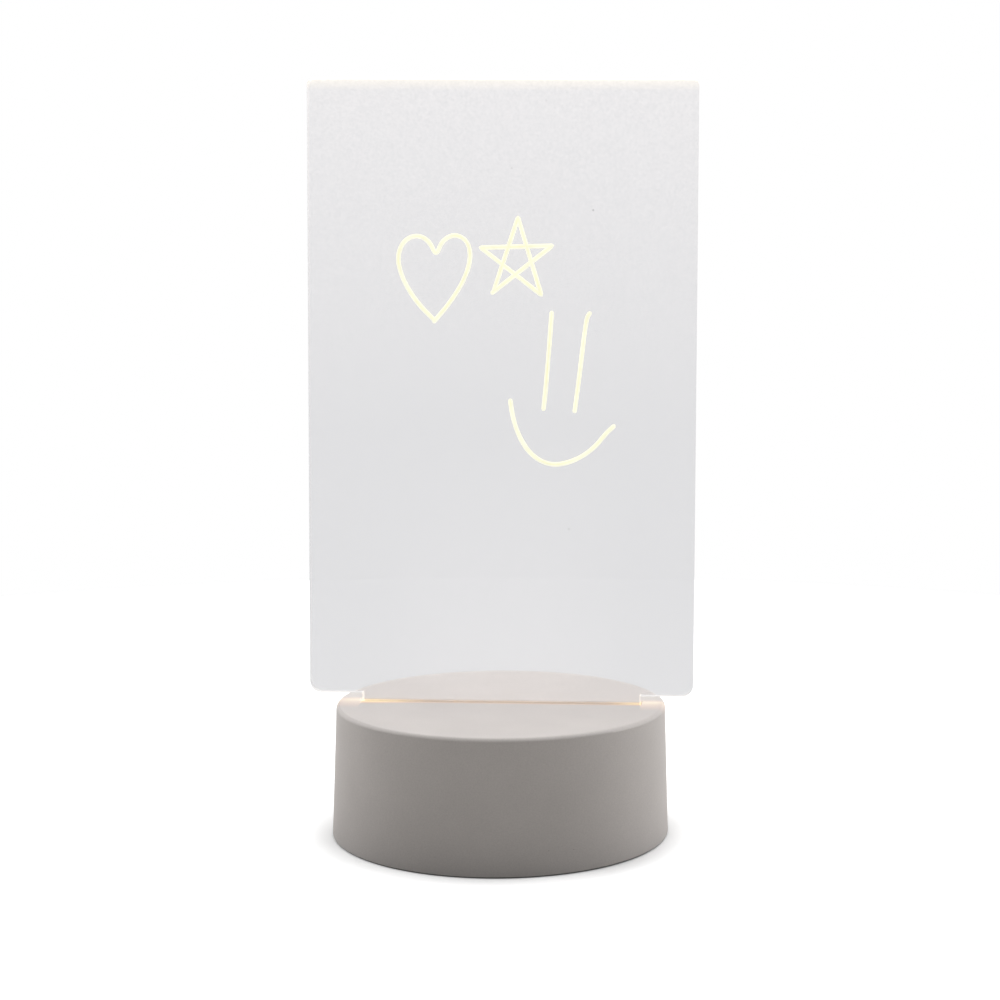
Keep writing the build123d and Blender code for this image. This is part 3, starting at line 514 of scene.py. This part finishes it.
# Inlet: twelve gold contacts on each side of its tongue, half a millimetre apart. Their middles lie
# CONTACT_LEVEL above and below the tongue's, and CONTACT_INSET behind its tip.
CONTACTS_A_SIDE = 12
CONTACT_PITCH = 0.5 * MM
FIRST_CONTACT = -CONTACT_PITCH * (CONTACTS_A_SIDE - 1) / 2
CONTACT_LEVEL = 0.345 * MM
CONTACT_INSET = 2.3 * MM
CONTACT_SIZE = (0.25 * MM, 3.4 * MM, 0.06 * MM)
CONTACT_ROUNDING = 0.01 * MM
gold = moulded("gold_plated_contact", "#e3bd62", 0.20, 0.2, 0.002, drawn=6.0, Metallic=1.0)
low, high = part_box("inlet_insulator")
level = (low.z + high.z) / 2
blocks("inlet_contacts", [
    (FIRST_CONTACT + CONTACT_PITCH * index, high.y - CONTACT_INSET, level + side * CONTACT_LEVEL)
    for index in range(CONTACTS_A_SIDE) for side in (-1, 1)],
    CONTACT_SIZE, CONTACT_ROUNDING, gold)

# LEDs: a low dome of yellow phosphor in silicone on each, which glows warm white
LED_COUNT = 8
DOME_RADII = Vector((1.1, 1.35, 0.16)) * MM
phosphor = moulded("yellow_phosphor_silicone", "#f3cf68", 0.25, 0.15, 0.003, mottle=0.03, **{
    "Emission Color": LED_LIGHT, "Emission Strength": 8.0})
led_boxes = [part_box(f"led_{number}") for number in range(1, LED_COUNT + 1)]
domes = bmesh.new()
for low, high in led_boxes:
    middle = (low + high) / 2
    bmesh.ops.create_uvsphere(domes, u_segments=24, v_segments=10, radius=1.0, matrix=Matrix.LocRotScale(
        Vector((middle.x, middle.y, high.z)), None, DOME_RADII))
for face in domes.faces:
    face.smooth = True
piece("led_windows", domes, phosphor, "base")

# Solder joints of tin, bright and slightly wavy, at the ends of the LEDs and the resistors and at the
# chip's legs. A joint's middle lies past its part's end and a little above the board.
JOINT_THICKNESS = 0.26 * MM
JOINT_LEVEL = 0.12 * MM
JOINT_ROUNDING = 0.1 * MM
PAST_LED = 0.2 * MM
PAST_RESISTOR = 0.15 * MM
PAST_LEG = 0.15 * MM
RESISTOR_HALF_WIDTH = 0.625 * MM
RESISTOR_JOINT_WIDTH = 1.2 * MM
RESISTOR_JOINT_LENGTH = 0.5 * MM
BOARD_RESISTOR_COUNT = 3
BOARD_RESISTOR_PITCH = 3.0 * MM
LEGS_A_SIDE = 4
LEG_PITCH = 1.27 * MM
tin = moulded("tin_solder", "#c9cacc", 0.26, 0.35, 0.012, Metallic=1.0)
blocks("led_solder_joints", [
    ((low.x + high.x) / 2, edge, low.z + JOINT_LEVEL)
    for low, high in led_boxes for edge in (low.y - PAST_LED, high.y + PAST_LED)],
    (2.2 * MM, 0.6 * MM, JOINT_THICKNESS), JOINT_ROUNDING, tin)
low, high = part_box("led_resistors")
led_pitch = led_boxes[1][0].x - led_boxes[0][0].x
blocks("led_resistor_joints", [
    (low.x + RESISTOR_HALF_WIDTH + led_pitch * index, edge, low.z + JOINT_LEVEL)
    for index in range(LED_COUNT) for edge in (low.y - PAST_RESISTOR, high.y + PAST_RESISTOR)],
    (RESISTOR_JOINT_WIDTH, RESISTOR_JOINT_LENGTH, JOINT_THICKNESS), JOINT_ROUNDING, tin)
low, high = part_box("board_resistors")
blocks("board_resistor_joints", [
    (low.x + RESISTOR_HALF_WIDTH + BOARD_RESISTOR_PITCH * index, high.y - JOINT_LEVEL, edge)
    for index in range(BOARD_RESISTOR_COUNT) for edge in (low.z - PAST_RESISTOR, high.z + PAST_RESISTOR)],
    (RESISTOR_JOINT_WIDTH, JOINT_THICKNESS, RESISTOR_JOINT_LENGTH), JOINT_ROUNDING, tin)
low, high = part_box("driver_chip")
first_leg = (low.z + high.z) / 2 - LEG_PITCH * (LEGS_A_SIDE - 1) / 2
blocks("driver_chip_joints", [
    (edge, high.y - JOINT_LEVEL, first_leg + LEG_PITCH * index)
    for index in range(LEGS_A_SIDE) for edge in (low.x - PAST_LEG, high.x + PAST_LEG)],
    (0.5 * MM, JOINT_THICKNESS, 0.6 * MM), JOINT_ROUNDING, tin)

# Marker strokes on the board's front face. All in millimetres: a line's width and how far it stands out,
# and its points across from the board's middle and up from its shoulder.
STROKE_WIDTH = 1.4
STROKE_RISE = 0.12
ink = marker_ink()
stroke_paths = {
    "smile_left_stroke": [(15.4, 119.6), (14.9, 112.3), (14.3, 104.2), (13.7, 96.5), (12.9, 88.8)],
    "smile_right_stroke": [(27.4, 119.4), (26.2, 117.6), (25.5, 112.9), (24.8, 106.8), (23.8, 98.1),
                           (22.5, 88.2)],
    "smile_mouth": [(2.6, 92.5), (3.1, 88.7), (4.3, 83.6), (6.7, 78.4), (10.1, 74.4), (14.6, 72.2),
                    (19.0, 72.3), (24.3, 74.3), (28.9, 77.7), (32.4, 82.1), (35.1, 84.6)],
    "heart_outline": [(-20.3, 116.0), (-26.2, 121.8), (-30.8, 129.2), (-32.4, 135.9), (-30.2, 141.1),
                      (-25.9, 142.7), (-22.2, 140.6), (-20.3, 136.0), (-18.5, 140.9), (-14.5, 143.0),
                      (-10.5, 140.9), (-9.5, 135.4), (-11.7, 128.7), (-16.0, 121.9), (-21.3, 115.7)],
    "star_outline": [(-2.7, 125.0), (4.9, 148.0), (4.9, 148.0), (12.1, 124.5), (12.1, 124.5),
                     (-6.5, 138.8), (-6.5, 138.8), (15.4, 139.5), (15.4, 139.5), (-3.4, 124.7)],
}


def rounded_end(tip, inner):
    """Control points, each with its width, that close a stroke with a round tip."""
    reach = STROKE_WIDTH / 2 / math.dist(tip, inner)
    steps = ((0.0, 0.02), (0.02, 0.35), (0.25, 0.66), (0.6, 0.92), (1.0, 1.0))
    return [(tuple(a + (b - a) * share * reach for a, b in zip(tip, inner)), width) for share, width in steps]


def marker_stroke(name, path):
    """A stroke of ink: a round line that is flat where it lies on the board and barely stands out."""
    inner_points = [(point, 1.0 + 0.07 * math.sin(2.4 * index)) for index, point in enumerate(path)][1:-1]
    points = rounded_end(path[0], path[1]) + inner_points + rounded_end(path[-1], path[-2])[::-1]
    curve = bpy.data.curves.new(name + "_line", "CURVE")
    curve.dimensions = "3D"
    spline = curve.splines.new("NURBS")
    spline.points.add(len(points) - 1)
    for control, ((x, z), width) in zip(spline.points, points):
        control.co = (x * MM, 0, SHOULDER + z * MM, 1)
        control.radius = width
    spline.order_u = 3
    spline.use_endpoint_u = True
    spline.resolution_u = 8
    curve.bevel_depth = STROKE_WIDTH / 2 * MM
    curve.bevel_resolution = 3
    curve.use_fill_caps = True
    line = bpy.data.objects.new(name + "_line", curve)
    bpy.context.scene.collection.objects.link(line)
    line_mesh = bpy.data.meshes.new_from_object(line)
    shape = bmesh.new()
    shape.from_mesh(line_mesh)
    bpy.data.objects.remove(line)
    bpy.data.meshes.remove(line_mesh)
    behind = [v for v in shape.verts if v.co.y > 0]
    before = [v for v in shape.verts if v.co.y <= 0]
    bmesh.ops.scale(shape, vec=(1, 0, 1), verts=behind)
    bmesh.ops.scale(shape, vec=(1, STROKE_RISE / (STROKE_WIDTH / 2), 1), verts=before)
    bmesh.ops.translate(shape, vec=(0, BOARD_FRONT, 0), verts=shape.verts)
    for face in shape.faces:
        face.smooth = True
    piece(name, shape, ink, "memo_board")


for name, path in stroke_paths.items():
    marker_stroke(name, path)

# Stage: a pale round floor under white surroundings. The two share the colours of their light.
FLOOR_RADIUS = 0.55
WHITE = linear("#ffffff")
THROUGH_BOARD = linear("#e7e7e8")
floor_shape = bmesh.new()
bmesh.ops.create_circle(floor_shape, cap_ends=True, segments=96, radius=FLOOR_RADIUS)
floor_mesh = bpy.data.meshes.new("floor")
floor_shape.to_mesh(floor_mesh)
floor_shape.free()
floor = bpy.data.objects.new("floor", floor_mesh)
bpy.context.scene.collection.objects.link(floor)


def studio_card():
    """The floor: white card, which keeps the lamp's shadow, partly real and partly painted, and gives back
    little light, with painted shade close to the lamp.
    """
    material, tree, output = new_material("white_studio_card_painted_shadow")
    rays = add(tree, "ShaderNodeLightPath")
    place = add(tree, "ShaderNodeTexCoord").outputs["Object"]
    from_middle = add(tree, "ShaderNodeVectorMath", {0: place}, operation="LENGTH")
    spot = add(tree, "ShaderNodeSeparateXYZ", {0: place})

    # A glow on top of the lamps' own light, less of it close to the lamp, so that a soft shadow stays: the
    # lamps' real shadow with painted shadow over it, darkest at the lamp's front right
    beside_lamp = add(tree, "ShaderNodeMapRange", {
        "Value": spot.outputs["Y"], "From Min": -52 * MM, "From Max": -20 * MM,
        "To Min": 0.31, "To Max": 0.14})
    # Painted shadow at the lamp's front right
    front_right = add(tree, "ShaderNodeVectorMath", {
        0: place, 1: (42 * MM, -42 * MM, 0)}, operation="DISTANCE")
    painted_shadow_front_right = add(tree, "ShaderNodeMapRange", {
        "Value": front_right.outputs["Value"], "From Min": 5 * MM, "From Max": 26 * MM,
        "To Min": 0.18, "To Max": 0.0})
    beside_lamp = add(tree, "ShaderNodeMath", {
        0: beside_lamp.outputs[0], 1: painted_shadow_front_right.outputs[0]}, operation="SUBTRACT")
    away = add(tree, "ShaderNodeMapRange", {
        "Value": from_middle.outputs["Value"],
        "From Min": SHELL_RADIUS, "From Max": SHELL_RADIUS + 11.5 * MM})
    even = add(tree, "ShaderNodeMix", {
        0: away.outputs[0], 2: beside_lamp.outputs[0], 3: 0.55}, data_type="FLOAT")
    # Painted shade under the lamp's edge: the glow stops there and the card's colour drops to about a third
    outside = add(tree, "ShaderNodeMapRange", {
        "Value": from_middle.outputs["Value"],
        "From Min": SHELL_RADIUS - 0.9 * MM, "From Max": SHELL_RADIUS - 0.1 * MM})
    even = add(tree, "ShaderNodeMath", {0: even.outputs[0], 1: outside.outputs[0]}, operation="MULTIPLY")
    paler = add(tree, "ShaderNodeMapRange", {"Value": outside.outputs[0], "To Min": 0.35, "To Max": 1.0})
    paler = add(tree, "ShaderNodeVectorMath", {
        0: linear("#f4f4f4")[:3], "Scale": paler.outputs[0]}, operation="SCALE")
    lit = add(tree, "ShaderNodeBsdfDiffuse", {"Color": paler.outputs[0]})
    glow = add(tree, "ShaderNodeEmission", {"Color": WHITE, "Strength": even.outputs[0]})
    shown = add(tree, "ShaderNodeAddShader", {0: lit.outputs[0], 1: glow.outputs[0]})

    # What the lamp gets back from the card: little light, least of all close to the lamp, where the card's
    # colour for these rays is painted dimmer, which paints shade on the lamp's lower side
    painted_shade_near_lamp = add(tree, "ShaderNodeMapRange", {
        "Value": from_middle.outputs["Value"], "From Min": SHELL_RADIUS, "From Max": SHELL_RADIUS + 30 * MM,
        "To Min": 0.1, "To Max": 1.0})
    dim = add(tree, "ShaderNodeVectorMath", {
        0: linear("#a9a7a4")[:3], "Scale": painted_shade_near_lamp.outputs[0]}, operation="SCALE")
    dim = add(tree, "ShaderNodeBsdfDiffuse", {"Color": dim.outputs[0]})

    # The card under the lamp gives some light that only the lamp's underside meets
    under_lamp = add(tree, "ShaderNodeMapRange", {
        "Value": from_middle.outputs["Value"],
        "From Min": SHELL_RADIUS - 5 * MM, "From Max": SHELL_RADIUS - 0.5 * MM,
        "To Min": 0.45, "To Max": 0.0})
    to_underside = add(tree, "ShaderNodeEmission", {"Color": WHITE, "Strength": under_lamp.outputs[0]})
    dim = add(tree, "ShaderNodeAddShader", {0: dim.outputs[0], 1: to_underside.outputs[0]})
    reflected = add(tree, "ShaderNodeAddShader", {0: shown.outputs[0], 1: to_underside.outputs[0]})

    # One of these for each kind of ray. From below, the card doesn't show.
    behind_board = add(tree, "ShaderNodeEmission", {"Color": THROUGH_BOARD, "Strength": 1.0})
    from_below = add(tree, "ShaderNodeBsdfTransparent")
    geometry = add(tree, "ShaderNodeNewGeometry")
    mixed = shown
    for chosen, other in (
            (rays.outputs["Is Glossy Ray"], reflected),
            (rays.outputs["Is Diffuse Ray"], dim),
            (rays.outputs["Is Transmission Ray"], behind_board),
            (geometry.outputs["Backfacing"], from_below)):
        mixed = add(tree, "ShaderNodeMixShader", {0: chosen, 1: mixed.outputs[0], 2: other.outputs[0]})
    tree.links.new(mixed.outputs[0], output.inputs[0])
    return material


floor_mesh.materials.append(studio_card())

# World: white to the camera and in reflections, pale grey through the board, and a dim even fill
world = bpy.data.worlds.new("studio")
bpy.context.scene.world = world
world.use_nodes = True
world_tree = world.node_tree
world_tree.nodes.clear()
world_output = add(world_tree, "ShaderNodeOutputWorld")
world_rays = add(world_tree, "ShaderNodeLightPath")
fill = add(world_tree, "ShaderNodeBackground", {"Color": WHITE, "Strength": 0.30})
white = add(world_tree, "ShaderNodeBackground", {"Color": WHITE, "Strength": 1.0})
pale = add(world_tree, "ShaderNodeBackground", {"Color": THROUGH_BOARD, "Strength": 1.0})
seen = add(world_tree, "ShaderNodeMath", {
    0: world_rays.outputs["Is Camera Ray"], 1: world_rays.outputs["Is Glossy Ray"]}, operation="MAXIMUM")
surroundings = fill
for chosen, other in ((seen.outputs[0], white), (world_rays.outputs["Is Transmission Ray"], pale)):
    surroundings = add(world_tree, "ShaderNodeMixShader", {
        0: chosen, 1: surroundings.outputs[0], 2: other.outputs[0]})
world_tree.links.new(surroundings.outputs[0], world_output.inputs[0])

# Softboxes: name, place, width and height in metres, and watts. Each is turned to the lamp.
LAMP_MIDDLE = Vector((0, 0, 0.05))
for name, place, width, height, watts in (
        ("overhead", (0.0, 0.12, 0.95), 0.9, 0.7, 5.3),
        ("left_side", (-0.75, 0.30, 0.30), 0.5, 0.5, 2.2),
        ("right_side", (0.75, 0.30, 0.30), 0.5, 0.5, 2.7)):
    light = bpy.data.lights.new(name, "AREA")
    light.shape = "RECTANGLE"
    light.size = width
    light.size_y = height
    light.energy = watts
    softbox = bpy.data.objects.new(name, light)
    bpy.context.scene.collection.objects.link(softbox)
    softbox.location = place
    softbox.rotation_euler = (Vector(place) - LAMP_MIDDLE).to_track_quat("Z", "Y").to_euler()
